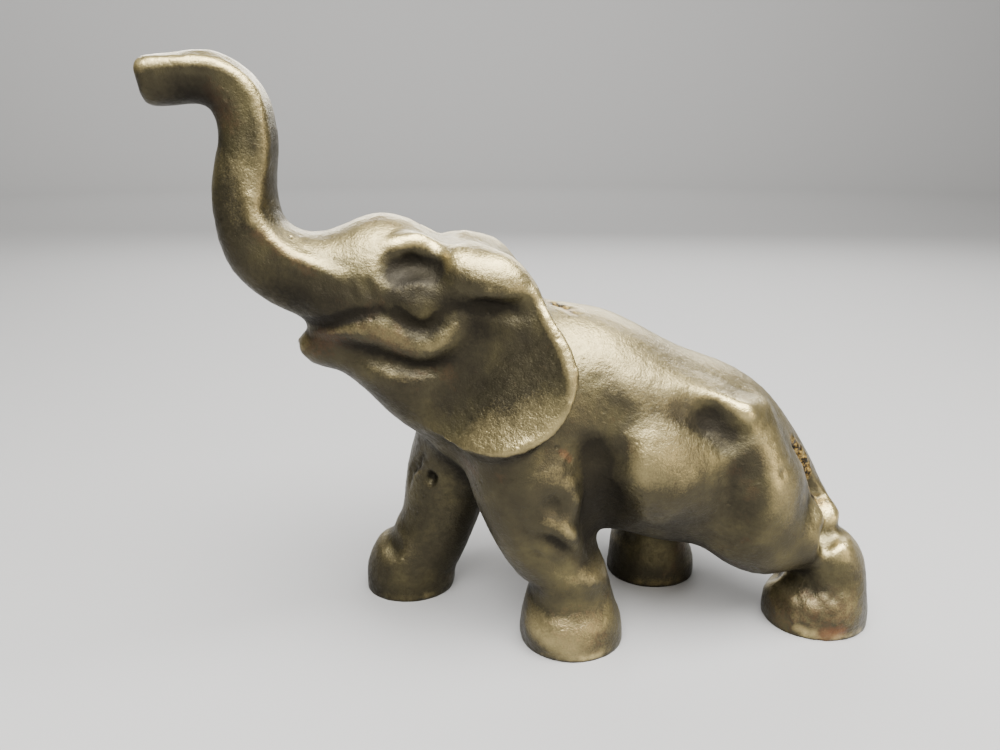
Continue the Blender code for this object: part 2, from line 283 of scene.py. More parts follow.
HEAD_STROKES = [
    # eye socket under the brow, the lower lid and the bag under it
    (4.8, -2.7, [(-32.2, 12, 88.6, 0.7), (-28.8, 12, 90), (-25.2, 12.6, 88.8, 0.5)]),
    (3.6, 2.2, [
        (-35, 10.4, 91.6, 0), (-29.6, 9.2, 94.6, 0.9), (-25.4, 9.6, 94.2, 0.9),
        (-21.6, 12, 91.8, 0.2),
    ]),
    (5.2, 0.9, [(-24, 10, 93.8, 0.3), (-20, 13, 90), (-18, 15.5, 85, 0.2)]),
    (2.2, 0.5, [(-31.6, 13.4, 86.4, 0), (-28.2, 13.8, 85.6), (-24.8, 14, 86.6, 0)]),
    (6, 0.3, [(-29.5, 14, 81.5), (-26.5, 14.4, 81)]),
    (3.8, -1.8, UNDER_EYE),
    # mouth cleft, the ridge from the lip round the cheek and the fold below it
    (2.4, -1.1, MOUTH),
    (5.2, 1.35, CHEEK),
    (3.6, -0.5, UNDER_CHEEK),
    (3.6, 0.6, [(-40, 10, 67.5, 0), (-34, 11, 65.4), (-28, 11.4, 64.8), (-22, 13.3, 67.6, 0)]),
    (4, 0.8, [(-53, 2, 70.5)]),
    # edges of the trunk's back
    (2.8, 0.9, [
        (-61.4, 6.2, 106, 0.3), (-61.2, 7, 98.5), (-58.5, 7.3, 95.2), (-54.2, 8.7, 91.5),
        (-49, 10, 89), (-41, 11.8, 86, 0),
    ]),
    (2.8, 0.8, [
        (-82, 5, 128, 0.6), (-73, 5.5, 128.4), (-65, 5.2, 127.7), (-60.2, 5, 124.6),
        (-58.2, 5, 119), (-58.4, 5.4, 112), (-59.6, 5.8, 103, 0.4),
    ]),
    # wrinkles where the trunk leaves the head
    (1.8, -0.45, [(-39.6, 11.6, 87.4, 0), (-38.4, 13, 84.4), (-36.6, 13.6, 80.4, 0.4)]),
    (1.8, -0.4, [(-42.6, 10.8, 86.8, 0), (-41.6, 12, 84), (-40.4, 12.6, 80.6, 0)]),
    # valley between neck and ear, the ear's folded top, the hollow under its fold and its rim
    (8, -1, [
        (-18.5, 15.5, 80), (-16, 16.3, 75), (-16.5, 16.6, 69), (-20, 15.7, 61),
        (-24.5, 14.4, 54), (-29, 13, 48, 0),
    ]),
    (8, 0.8, [(-17, 11.5, 92, 0.6), (-12, 13, 90.5), (-8, 14, 88.5, 0.6)]),
    (9.5, 1.5, [
        (-18.5, 15, 88.5, 0.6), (-14, 16.3, 87.4), (-9.5, 16.8, 86.4),
        (-6.5, 17, 85.6, 0.5),
    ]),
    (3.8, -1.7, [(-18.5, 16.5, 82, 0.2), (-14, 17.3, 81.4), (-9.5, 18, 81), (-5.5, 19, 81, 0.4)]),
    (1.7, 0.4, EAR_BEAD),
]

# Strokes made on both sides of the body, with the points of the far side

HIP_HOLLOW = [(29, 18.6, 57.4, 0.3), (34, 18.8, 55.4), (37.4, 19.6, 52.6, 0.8)]
FLANK = [(41.5, 20.6, 50, 0.2), (41.7, 22, 43), (40.6, 21.8, 36), (38.5, 20, 28, 0.6)]

BODY_STROKES = [
    # hip bone and the hollow below it
    (8, 1.9, [
        (10, 16, 68, 0), (22, 16.6, 63.6, 0.3), (30, 16.2, 61.2, 0.7), (37, 15.8, 58.8),
        (41, 16.8, 57, 0.8),
    ]),
    (3.2, 0.9, [(29, 16.4, 61.2, 0), (37, 16, 58.6, 0.8), (42.4, 17.8, 56.4)]),
    (6.5, -2.2, HIP_HOLLOW),
    # flank, and the swell of the belly
    (8, -1.8, FLANK),
    (15, 2.8, [(20.5, 22.6, 44.5), (25, 22.4, 41)]),
    # hollow behind the ear
    (9, -0.5, [(9, 20, 62), (11, 21, 57), (11, 21, 52)]),
]

# Strokes made on the near legs and beside the tail

ARM_VALLEY = [
    (10.5, -21, 55, 0.3), (9.6, -21.7, 48), (10, -21, 42.4), (10.8, -18.9, 34.1),
    (10.4, -17, 27),
]
WRINKLE = [(-6, -23, 33.5, 0), (-2, -23, 30.6), (3, -22.6, 27), (9, -21.3, 21.5, 0.3)]
CAVITY = [
    (58.6, -12, 46.6, 0.4), (61, -11.4, 43), (63.4, -10.8, 39), (65.6, -10.8, 35),
    (67, -11.4, 31.6, 0.4),
]
BACK_CRACK = [(0.7, -2.2, 79.1, 0.5), (3.5, -2.2, 78.3), (6.2, -5.5, 77.1, 0.5)]

NEAR_STROKES = [
    # valley between foreleg and belly, then the shoulder, the elbow and the wrinkles below
    (10, -3, ARM_VALLEY),
    (8, 0.9, [(-5, -22.7, 45), (3, -21.6, 44)]),
    (4.5, -1.1, [(-5, -22.5, 41, 0), (-1, -22.5, 39.4), (2, -22.5, 35.6, 0.6), (1, -23, 30, 0)]),
    (4.6, 1.5, [(4, -21.8, 42, 0.5), (4.8, -21.8, 38), (3.6, -22.5, 33.4, 0.4)]),
    (3.2, -1.0, WRINKLE),
    (3.4, 0.8, [(-4, -23.2, 36, 0), (2, -22.4, 32.2), (8.6, -20.3, 26, 0.3)]),
    (3, -0.8, [(-7, -23, 28, 0), (-2, -23, 25.6), (4, -22.6, 22), (9, -21.3, 17.5, 0)]),
    (3, -0.7, [(-9, -20, 40, 0), (-7, -21.5, 34), (-5.5, -21.5, 28), (-3, -21, 22, 0)]),
    (6.5, -1.2, [(-2, -21.8, 16, 0.2), (4, -22.4, 13.4), (10, -21.6, 12.4)]),
    (6, 1, [(-5, -19, 6.5, 0.7), (-1, -22, 5), (5, -23.4, 4, 0.5)]),
    # thigh, the crease over the hind foot, hock and the hollow of the shank
    (10, 0.8, [(46, -20.2, 54, 0.3), (47.6, -21.9, 46), (49.6, -23.4, 38), (51.5, -23.2, 31, 0.4)]),
    (3, 0.45, [(41.4, -21.6, 44, 0), (41.8, -22.3, 39), (42.6, -21.9, 33, 0)]),
    (4.4, -2.1, [(56, -3, 12), (55.5, -10, 12), (56.3, -16.5, 12.3, 0.7)]),
    (5, -0.7, [(56.3, -16, 12.3, 0.6), (60, -20.5, 13.2), (66, -21.5, 14, 0)]),
    (6, 0.7, [(69.5, -18, 21.8)]),
    (5, -0.5, [(67, -21.4, 18.4, 0.2), (69.3, -21.8, 14), (72, -20.5, 10, 0)]),
    (6, 0.4, [(60, -21, 7), (65, -23, 6), (71, -22.6, 6)]),
    # crease over the toes of the forefoot
    (4, -1.3, [(-6.5, -5, 14.5), (-6.5, -12, 14.5), (-5, -18, 14.5, 0.6), (-1, -21, 14, 0)]),
    # hole of the casting beside the tail, and the tail's tuft with its cut end
    (2.8, -3, CAVITY),
    (6, 1.5, [(65.5, -14.5, 28.5), (68.5, -12.5, 27.8)]),
    (3.2, -1.1, [
        (63.5, -19, 22.6, 0.2), (66.5, -17, 22.8), (69.6, -14.5, 23.8),
        (72, -10.5, 25.4, 0.4),
    ]),
    # pits, a dent and a crack of the casting
    (1.1, -0.7, [(1.1, -21.4, 50.4)]),
    (1, -0.6, [(3.1, -21.5, 49)]),
    (1.6, -0.6, [(50.3, -22.4, 43.8)]),
    (1.2, -0.9, BACK_CRACK),
]

# Places left rough by the mould: reach, depth, size of the lumps and path

ROUGH_PLACES = [
    (4, 0.7, 1.5, CAVITY),
    (3.4, 0.5, 1.4, BACK_CRACK),
    (4, 0.3, 1.6, [(57, -17, 4), (62, -22, 2), (69, -23.4, 2.4)]),
    (11, 0.28, 2.4, [(60, -19, 7), (68, -21, 9)]),
    (3, 0.5, 1.6, [(-28.5, 8, 38), (-31, 10.6, 34)]),
]

# The groove between thigh and tail, filled before the strokes: reach, rounds of filling and
# of softening, and path

NEAR_FILLS = [
    (6.5, 170, 17, [
        (52, -7, 53), (56, -9, 49), (59.5, -10, 45), (62.5, -10, 40), (65, -10.5, 35),
        (66.5, -12, 30),
    ]),
]

# Places rubbed again after the strokes: reach, rounds and path

LATE_RUBS = [
    (4.4, 24, [
        (-24, 10.5, 92.5, 0.6), (-23.6, 12.6, 89.5), (-23.4, 14, 86),
        (-23.6, 14.8, 82, 0.7),
    ]),
    (5, 8, [(-40, 10, 77), (-32, 13.4, 74), (-26, 14, 73.5)]),
    (4, 12, [(33, 19, 54), (37, 19.6, 52)]),
]

# The cast skin's waves and grain: size and depth

SKIN = [(8, 0.13), (1.7, 0.07)]

# Places of the patina and of painted light: layer (rubbed bright with painted highlight, painted
# shade, copper, raw), sides, reach, strength and path with the points of the far side

PATINA_AND_LIGHT_PLACES = [
    # Painted shade in the eye socket, the mouth and the creases and valleys of the head, body and
    # near legs
    ("hollow", BOTH, 5, 1.2, [(-32.2, 12, 88.4, 0.8), (-28.6, 12, 89.6), (-25.4, 12.4, 88.8, 0.8)]),
    ("hollow", BOTH, 9, 0.7, [(-31, 14, 84), (-26, 14.6, 84)]),
    ("hollow", BOTH, 8, 0.7, [
        (-42, 10, 82, 0.7), (-50, 9, 82.6), (-57, 7, 85.6), (-61, 5, 90, 0.6),
    ]),
    ("hollow", BOTH, 5.5, 0.55, [
        (-78, 6, 122.6, 0.7), (-71, 6.2, 122.6), (-66, 6.2, 120.6), (-64.5, 6.2, 117, 0.5),
    ]),
    ("hollow", BOTH, 4, 0.8, UNDER_EYE),
    ("hollow", BOTH, 2.6, 0.85, MOUTH),
    ("hollow", BOTH, 3.4, 0.15, UNDER_CHEEK),
    ("hollow", BOTH, 9, 0.4, [(-30, 12, 60), (-23, 13, 56), (-36, 11, 64, 0.6)]),
    ("hollow", ONLY_NEAR, 3, 0.5, mirrored(WRINKLE, NEAR)),
    ("hollow", ONLY_NEAR, 9, 0.5, [(60, 17, 9), (68, 20, 12)]),
    ("hollow", BOTH, 6, 0.5, [(-17, 16, 80), (-11.8, 16.5, 79), (-7.7, 17.2, 77)]),
    ("hollow", BOTH, 9, 0.35, [(-16, 16.3, 74), (-16.5, 16, 66), (-21, 15.5, 58)]),
    ("hollow", BOTH, 6, 0.85, HIP_HOLLOW),
    ("hollow", BOTH, 8, 0.5, [(42, 21, 49), (42, 22, 41), (43, 21.5, 33), (44, 20, 26, 0.6)]),
    ("hollow", ONLY_NEAR, 9, 0.7, mirrored(ARM_VALLEY, NEAR)),
    # Painted highlights on the brow, cheek ridge, ear rim, hip ridge, belly, toes, tuft and trunk,
    # with places rubbed bright
    ("worn_and_lit", BOTH, 3, 0.5, [
        (-34.8, 10, 92.6, 0.2), (-29, 9, 94.8), (-24, 10, 93.8), (-20.8, 13.2, 89.4),
    ]),
    ("worn_and_lit", BOTH, 4.4, 0.3, CHEEK),
    ("worn_and_lit", BOTH, 1.8, 0.35, EAR_BEAD),
    ("worn_and_lit", BOTH, 3.6, 0.5, [(36, 16, 59, 0.2), (39.5, 16.6, 57.8), (42, 17.6, 56.6)]),
    ("worn_and_lit", BOTH, 9, 0.3, [(-4.3, 23.9, 59), (-8.4, 23.5, 54.6), (-14.4, 20.5, 53.7)]),
    ("worn_and_lit", ONLY_NEAR, 12, 0.25, [(20.7, 23.7, 46.6), (23, 22.6, 43)]),
    ("worn_and_lit", ONLY_NEAR, 5, 0.35, [(-3, 20.4, 6.5), (-1, 22.2, 5), (3.3, 23.9, 3.7)]),
    ("worn_and_lit", ONLY_NEAR, 4.5, 0.5, [(65.5, 14.5, 28.5), (69, 12.5, 28)]),
    ("worn_and_lit", ONLY_NEAR, 1.8, 0.5, [(59.1, 20.5, 2.3), (62.1, 22.2, 2.1)]),
    ("worn_and_lit", ONLY_NEAR, 6, 0.3, [(48.4, 20.7, 51), (50.6, 23, 42.4), (52.5, 23.7, 33)]),
    ("worn_and_lit", BOTH, 5, 0.35, [(-80, 3, 129), (-75, 3, 129.5)]),
    ("worn_and_lit", BOTH, 6, 0.25, [(-62, 6, 108), (-62.6, 6.4, 100)]),
    ("copper", BOTH, 4.5, 0.3, [(-68, 6, 122), (-65, 6, 118)]),
    ("copper", BOTH, 3, 0.25, [(-60.5, 7, 96), (-56, 8.4, 92.6), (-50, 9.8, 88.6)]),
    ("copper", BOTH, 6, 0.25, [(-51, 4.6, 71.3), (-47, 7, 74), (-42, 9, 75.4, 0.5)]),
    ("copper", ONLY_NEAR, 9, 0.2, [(8, 22, 5), (3, 23, 8)]),
    ("copper", ONLY_NEAR, 10, 0.22, [(58, 17, 5), (68, 21, 7)]),
    ("copper", ONLY_NEAR, 3, 0.8, [(64.8, 23.1, 2), (68.3, 23.4, 2.4)]),
    ("copper", ONLY_NEAR, 1.5, 0.6, [(1.1, 21.4, 50.4), (3.1, 21.5, 49)]),
    ("raw", ONLY_NEAR, 3.6, 1, mirrored(CAVITY, NEAR)),
    ("raw", ONLY_NEAR, 2.6, 0.7, mirrored(BACK_CRACK, NEAR)),
]

# Strokes made on the far legs

FAR_STROKES = [
    # shoulder and the valley behind the far foreleg
    (7, -2, [(-5, 21, 54, 0.3), (-6, 21, 47), (-7, 20.6, 40), (-8.5, 20, 34)]),
    (6, 0.8, [(-18, 23, 44), (-14, 23, 43.6), (-9, 23, 43)]),
    # creases over the toes of the far forefoot and the far hind foot
    (4.2, -1.3, [(-37.5, 7, 15), (-38, 13, 15.5), (-37, 19, 15.5), (-32, 24, 14.5, 0.3)]),
    (4.2, -1.2, [(22.5, 8, 14), (22.3, 14, 14), (23.5, 20, 14), (28, 24.5, 13.5, 0.3)]),
    # seam and hole of the casting on the inner side of the far foreleg
    (1.6, -1.1, [(-26.7, 6.2, 41, 0), (-29, 8, 37.5), (-31, 10.6, 34.1), (-32.2, 11.1, 28, 0)]),
    (2.2, -2.4, [(-26.4, 5.5, 34)]),
]

# Places filled and then rubbed smooth on both sides of the head before the strokes

HEAD_FILLS = [
    (11, 80, [(-21, 6, 93.5), (-15, 8, 92), (-9, 10, 88.5), (-4, 12, 84)]),
    (7, 60, [(-24, 3, 95), (-23, 8, 94.5), (-21.5, 12, 91), (-20.5, 14.5, 86), (-20, 15.5, 81)]),
]

HEAD_RUBS = [
    (9, 40, [(-21, 4, 94), (-15, 6, 92), (-9, 8, 88.5), (-4, 10, 84)]),
    (7, 40, [(-24, 4, 95), (-22.5, 9, 94), (-21, 13, 90.5), (-20.4, 15, 85)]),
    (6, 30, [(-24, 8, 95), (-16.5, 12, 94), (-8, 15, 88.5), (-1.5, 19, 80)]),
    (9, 30, [(-19, 16, 84), (-15, 17, 74), (-18, 16, 62), (-24, 14, 54)]),
]


def placed(points):
    """Grid points as places in metres."""
    return (np.array(points, float) - GRID_ORIGIN) * STEP


def curve_through(stations, per_span):
    """Rows read from one smooth curve through the stations, per_span to each gap."""
    rows = np.array(stations, float)
    padded = np.vstack([2 * rows[0] - rows[1], rows, 2 * rows[-1] - rows[-2]])
    read = []
    for before, start, end, after in zip(padded, padded[1:], padded[2:], padded[3:]):
        leave, arrive = (end - before) / 2, (after - start) / 2
        for t in np.arange(per_span) / per_span:
            read.append(
                (2 * t**3 - 3 * t**2 + 1) * start
                + (t**3 - 2 * t**2 + t) * leave
                + (3 * t**2 - 2 * t**3) * end
                + (t**3 - t**2) * arrive
            )
    return np.array(read + [rows[-1]])


def unit(vectors):
    return vectors / np.linalg.norm(vectors, axis=-1, keepdims=True)


def ring_shape(squareness, keel):
    """Shares across and in depth round a ring, from 2 for an oval to higher for a square."""
    turn = np.linspace(0, 2 * np.pi, RING_SIDES, endpoint=False)
    power = 2 / squareness
    across = np.sign(np.cos(turn)) * np.abs(np.cos(turn)) ** power
    depth = np.sign(np.sin(turn)) * np.abs(np.sin(turn)) ** power
    below = np.clip((WIDEST_LINE + depth) / (WIDEST_LINE + 1), 0, 1)
    return across * (1 - keel * below), depth


def loft(shape, stations, squareness=2.0, keel=0.0):
    """Adds a closed skin over the stations to the bmesh shape."""
    rows = curve_through(stations, RINGS_PER_SPAN)
    centres = placed(rows[:, :3])
    along = unit(np.gradient(centres, axis=0))
    sideways = unit(np.array([0, 1, 0]) - along * along[:, 1:2])
    inward = np.cross(along, sideways)
    across, depth = ring_shape(squareness, keel)
    rings = []
    for centre, side, down, (wide, deep) in zip(centres, sideways, inward, rows[:, 3:] * STEP):
        points = centre + np.outer(across * wide, side) + np.outer(depth * deep, down)
        rings.append([shape.verts.new(p) for p in points])
    for lower, upper in zip(rings, rings[1:]):
        for i in range(RING_SIDES):
            j = (i + 1) % RING_SIDES
            shape.faces.new((lower[i], lower[j], upper[j], upper[i]))
    shape.faces.new(rings[0][::-1])
    shape.faces.new(rings[-1])


def spread(line, count):
    """Count points spread evenly over the curve through a line's points."""
    rows = curve_through(line, count)
    return rows[np.linspace(0, len(rows) - 1, count).round().astype(int)]


def ear_plate(shape, side):
    """Adds an ear as a closed pad, dished on its outer face and thicker along its rim."""
    root = spread(EAR_ROOT, EAR_COLUMNS)
    rim = spread(EAR_RIM, EAR_COLUMNS)
    share = np.sin(np.linspace(0, np.pi / 2, EAR_RINGS))[:, None, None]
    middle = root + (rim - root) * share
    share = share[:, :, 0]
    middle[:, :, 1] -= EAR_DISH * np.sin(np.pi * share)
    lip = EAR_LIP * np.exp(-(((share - EAR_LIP_PLACE) / EAR_LIP_SPREAD) ** 2))
    half = (EAR_THICKNESS / 2 + lip) * np.sqrt(1 + EAR_EDGE_LEFT - share**EAR_EDGE_ROUNDING)
    layers = []
    for face in (1, -1):
        layer = middle.copy()
        layer[:, :, 1] = side * (middle[:, :, 1] + face * half)
        layers.append([[shape.verts.new(p) for p in row] for row in placed(layer)])
    for layer in layers:
        for low, high in zip(layer, layer[1:]):
            for i in range(EAR_COLUMNS - 1):
                shape.faces.new((low[i], low[i + 1], high[i + 1], high[i]))
    top, bottom = layers
    border = [(row[0], other[0]) for row, other in zip(top, bottom)]
    border += [(a, b) for a, b in zip(top[-1], bottom[-1])][1:]
    border += [(row[-1], other[-1]) for row, other in zip(top, bottom)][-2::-1]
    border += [(a, b) for a, b in zip(top[0], bottom[0])][-2:0:-1]
    for (a, b), (c, d) in zip(border, border[1:] + border[:1]):
        shape.faces.new((a, b, d, c))


def applied(piece):
    """Replaces the piece's mesh with the one its modifiers make."""
    bpy.context.view_layer.update()
    graph = bpy.context.evaluated_depsgraph_get()
    mesh = bpy.data.meshes.new_from_object(piece.evaluated_get(graph))
    piece.modifiers.clear()
    piece.data = mesh


def fused(name, shape):
    """The bmesh as an object whose overlapping skins are one closed surface."""
    bmesh.ops.recalc_face_normals(shape, faces=shape.faces)
    mesh = bpy.data.meshes.new(name)
    shape.to_mesh(mesh)
    shape.free()
    piece = bpy.data.objects.new(name, mesh)
    bpy.context.scene.collection.objects.link(piece)
    remesh = piece.modifiers.new("One skin", "REMESH")
    remesh.mode = "VOXEL"
    remesh.voxel_size = CLAY_GRAIN * STEP
    applied(piece)
    return piece


class Clay:
    """A closed mesh as arrays of points, pushed along its normals and smoothed."""

    def __init__(self, mesh):
        self.mesh = mesh
        self.points = np.empty(len(mesh.vertices) * 3)
        mesh.vertices.foreach_get("co", self.points)
        self.points = self.points.reshape(-1, 3)
        edges = np.empty(len(mesh.edges) * 2, int)
        mesh.edges.foreach_get("vertices", edges)
        edges = edges.reshape(-1, 2)
        self.ends = np.concatenate([edges[:, 0], edges[:, 1]])
        self.others = np.concatenate([edges[:, 1], edges[:, 0]])
        self.valence = np.bincount(self.ends, minlength=len(self.points))[:, None]

    def store(self):
        self.mesh.vertices.foreach_set("co", self.points.astype(np.float32).ravel())
        self.mesh.update()

    def normals(self):
        self.store()
        found = np.empty(len(self.points) * 3)
        self.mesh.vertex_normals.foreach_get("vector", found)
        return found.reshape(-1, 3)

    def drift(self):
        """How far each point is from the middle of its neighbours."""
        total = [
            np.bincount(self.ends, self.points[self.others, axis], len(self.points))
            for axis in range(3)
        ]
        return np.stack(total, axis=1) / self.valence - self.points

    def smooth(self, rounds):
        for _ in range(rounds):
            self.points += SMOOTH_SHARE * self.drift()

    def fill_creases(self, rounds):
        """Fills the inside corners between masses and leaves outside edges nearly as they are."""
        for _ in range(rounds):
            normals = self.normals()
            drift = self.drift()
            rise = np.einsum("ij,ij->i", drift, normals)
            self.points += CREASE_SOFTEN * drift
            self.points += CREASE_FILL * np.maximum(rise, 0)[:, None] * normals

    def brush(self, reach, path):
        """How strongly a stroke along the path works on each point, from 0 to 1.

        A fourth number at a point of the path is the tool's pressure there, else it is 1.
        """
        path = np.array([(*point, 1)[:4] for point in path], float)
        if len(path) > 2:
            path = curve_through(path, STROKE_SPANS)
        pressure = path[:, 3]
        path = placed(path[:, :3])
        reach *= STEP
        low, high = path.min(axis=0) - 2 * reach, path.max(axis=0) + 2 * reach
        near = np.flatnonzero(((self.points > low) & (self.points < high)).all(axis=1))
        points = self.points[near]
        path = points[[np.argmin(((points - spot) ** 2).sum(axis=1)) for spot in path]]
        for _ in range(PATH_SMOOTHING):
            path[1:-1] = (path[:-2] + 2 * path[1:-1] + path[2:]) / 4
        gap = np.linalg.norm(points - path[0], axis=1)
        along = np.zeros(len(gap))
        for i, (start, end) in enumerate(zip(path, path[1:])):
            way = end - start
            share = np.clip((points - start) @ way / max(way @ way, SMALLEST), 0, 1)
            here = np.linalg.norm(points - start - share[:, None] * way, axis=1)
            nearer = here < gap
            gap[nearer] = here[nearer]
            along[nearer] = (i + share[nearer]) / (len(path) - 1)
        fade = np.clip(1 - (gap / reach) ** 2, 0, 1) ** 2
        whole = np.zeros(len(self.points))
        whole[near] = fade * np.interp(along * (len(path) - 1), np.arange(len(path)), pressure)
        return whole

    def stroke(self, reach, rise, path):
        """Raises a soft band of the surface along the path, or presses it in."""
        fade = self.brush(reach, path)
        self.points += rise * STEP * fade[:, None] * self.normals()

    def soften(self, reach, rounds, path):
        """Rubs the surface smooth along the path."""
        fade = self.brush(reach, path)[:, None]
        for _ in range(rounds):
            self.points += SMOOTH_SHARE * fade * self.drift()

    def fill(self, reach, rounds, path):
        """Fills the inside of a crease along the path."""
        fade = self.brush(reach, path)
        for done in range(rounds):
            if done % FILL_CHECK == 0:
                normals = self.normals()
            rise = np.einsum("ij,ij->i", self.drift(), normals)
            self.points += (CREASE_FILL * fade * np.maximum(rise, 0))[:, None] * normals

    def roughen(self, depth, size, fade):
        """Pushes the surface in and out in lumps of one size, as strongly as fade says."""
        chosen = np.flatnonzero(fade)
        lumps = [noise.noise(Vector(point / (size * STEP))) for point in self.points[chosen]]
        rise = depth * STEP * np.array(lumps) * fade[chosen]
        self.points[chosen] += rise[:, None] * self.normals()[chosen]


def cut_soles(mesh):
    """Cuts the feet flat where they meet the ground."""
    shape = bmesh.new()
    shape.from_mesh(mesh)
    everything = shape.verts[:] + shape.edges[:] + shape.faces[:]
    cut = bmesh.ops.bisect_plane(
        shape, geom=everything, plane_co=(0, 0, 0), plane_no=(0, 0, 1), clear_inner=True
    )
    rims = [part for part in cut["geom_cut"] if isinstance(part, bmesh.types.BMEdge)]
    bmesh.ops.holes_fill(shape, edges=rims)
    bmesh.ops.triangulate(shape, faces=shape.faces)
    bmesh.ops.recalc_face_normals(shape, faces=shape.faces)
    shape.to_mesh(mesh)
    shape.free()


def thinned(piece):
    """Merges small faces until the piece has its number of triangles."""
    fewer = piece.modifiers.new("Fewer", "DECIMATE")
    fewer.ratio = TRIANGLES / len(piece.data.polygons)
    applied(piece)


def kept_inside(mesh, low, high):
    """Holds the mesh within the solid's box, which it may pass by a hair at its outer points."""
    clay = Clay(mesh)
    low = np.array(low) + (BOX_MARGIN, BOX_MARGIN, 0)
    clay.points = np.clip(clay.points, low, np.array(high) - BOX_MARGIN)
    clay.store()


def masses():
    """Every mass of the figure as overlapping closed skins in one bmesh."""
    shape = bmesh.new()
    for stations in (TORSO, HEAD, THROAT, TAIL, NEAR_FORELEG, FAR_FORELEG):
        loft(shape, stations)
    for stations in (NEAR_THIGH, NEAR_HIND_FOOT, FAR_THIGH):
        loft(shape, stations)
    loft(shape, TRUNK, TRUNK_SQUARENESS, TRUNK_KEEL)
    for side in (NEAR, FAR):
        loft(shape, mirrored(EAR_LOBE, side))
        ear_plate(shape, side)
    return shape


def subdivided(piece):
    """Splits every face in four, so that the strokes have fine clay to work in."""
    finer = piece.modifiers.new("Finer", "SUBSURF")
    finer.levels = 1
    finer.subdivision_type = "CATMULL_CLARK"
    applied(piece)


def modelled(piece):
    """Works the fused mesh as clay: fills its creases, makes every stroke and roughens it."""
    clay = Clay(piece.data)
    clay.fill_creases(CREASE_ROUNDS)
    clay.smooth(SMOOTH_BEFORE)
    clay.store()
    subdivided(piece)
    clay = Clay(piece.data)
    for side in (NEAR, FAR):
        for reach, rounds, path in HEAD_FILLS:
            clay.fill(reach, rounds, mirrored(path, side))
        if side == NEAR:
            for reach, rounds, softened, path in NEAR_FILLS:
                clay.fill(reach, rounds, path)
                clay.soften(reach, softened, path)
        for reach, rounds, path in HEAD_RUBS:
            clay.soften(reach, rounds, mirrored(path, side))
        for reach, rise, path in HEAD_STROKES + BODY_STROKES:
            clay.stroke(reach, rise, mirrored(path, side))
        for reach, rounds, path in LATE_RUBS:
            clay.soften(reach, rounds, mirrored(path, side))
    for reach, rise, path in NEAR_STROKES + FAR_STROKES:
        clay.stroke(reach, rise, path)
    clay.smooth(SMOOTH_AFTER)
    for reach, depth, size, path in ROUGH_PLACES:
        clay.roughen(depth, size, clay.brush(reach, path))
    for size, depth in SKIN:
        clay.roughen(depth, size, np.ones(len(clay.points)))
    clay.store()


# The bronze. Its layer holds rubbed bright places with painted highlight, painted shade, copper and
# raw in red, green, blue and alpha.

WEAR_AND_LIGHT_LAYER = "wear_and_light"
GRAIN_ROUNDS = 4
EDGE_ROUNDS = 10
FORM_ROUNDS = 110
SOLE_EDGE = 0.0016
LEG_TOP = 0.06
HALF_WIDTH = 0.012
# Painted shade on the low far legs, and how much painted shade dims the rubbed bright places
FAR_LEG_SHADE = 0.55
SHADE_HIDES = 0.9

# How much edges and full forms are rubbed bright and upward faces take a painted highlight, from
# where on, and how much their opposites take painted shade

EDGE_WEAR, EDGE_START = 1.8, 0.05
FORM_WEAR, FORM_START = 0.15, 0.45
TOP_HIGHLIGHT, TOP_HIGHLIGHT_START = 0.8, -0.02
EDGE_SHADE, FORM_SHADE, UNDER_SHADE = 2, 0.4, 0.9

# Scales of the bronze's grains, and how deep the finest relief is

PATCHES = 70
RUST_CLOUDS = 42
SAND = 900
FINE_SAND = 2300
PITS = 420
PITTED_PARTS = 160
BUMP_STRENGTH = 0.7
BUMP_DEPTH = 0.0004
METALLIC = 0.9

PATINA_DARK = (0.034, 0.029, 0.019)
PATINA = (0.058, 0.050, 0.029)
PATINA_OLIVE = (0.114, 0.097, 0.046)
# Bronze rubbed bright, laid both on rubbed edges and as a painted highlight
WORN_AND_LIT = (0.39, 0.315, 0.145)
RED_BROWN = (0.120, 0.062, 0.032)
COPPER = (0.19, 0.075, 0.036)
RAW_EARTH = (0.150, 0.096, 0.030)
RAW_SAND = (0.36, 0.26, 0.09)
# Near black, for the grains of raw sand and for painted shade
DIRT_AND_SHADE = (0.014, 0.012, 0.009)


def shader_of(name):
    """A new material's node tree and its shader."""
    material = bpy.data.materials.new(name)
    material.use_nodes = True
    tree = material.node_tree
    return material, tree, tree.nodes["Principled BSDF"]


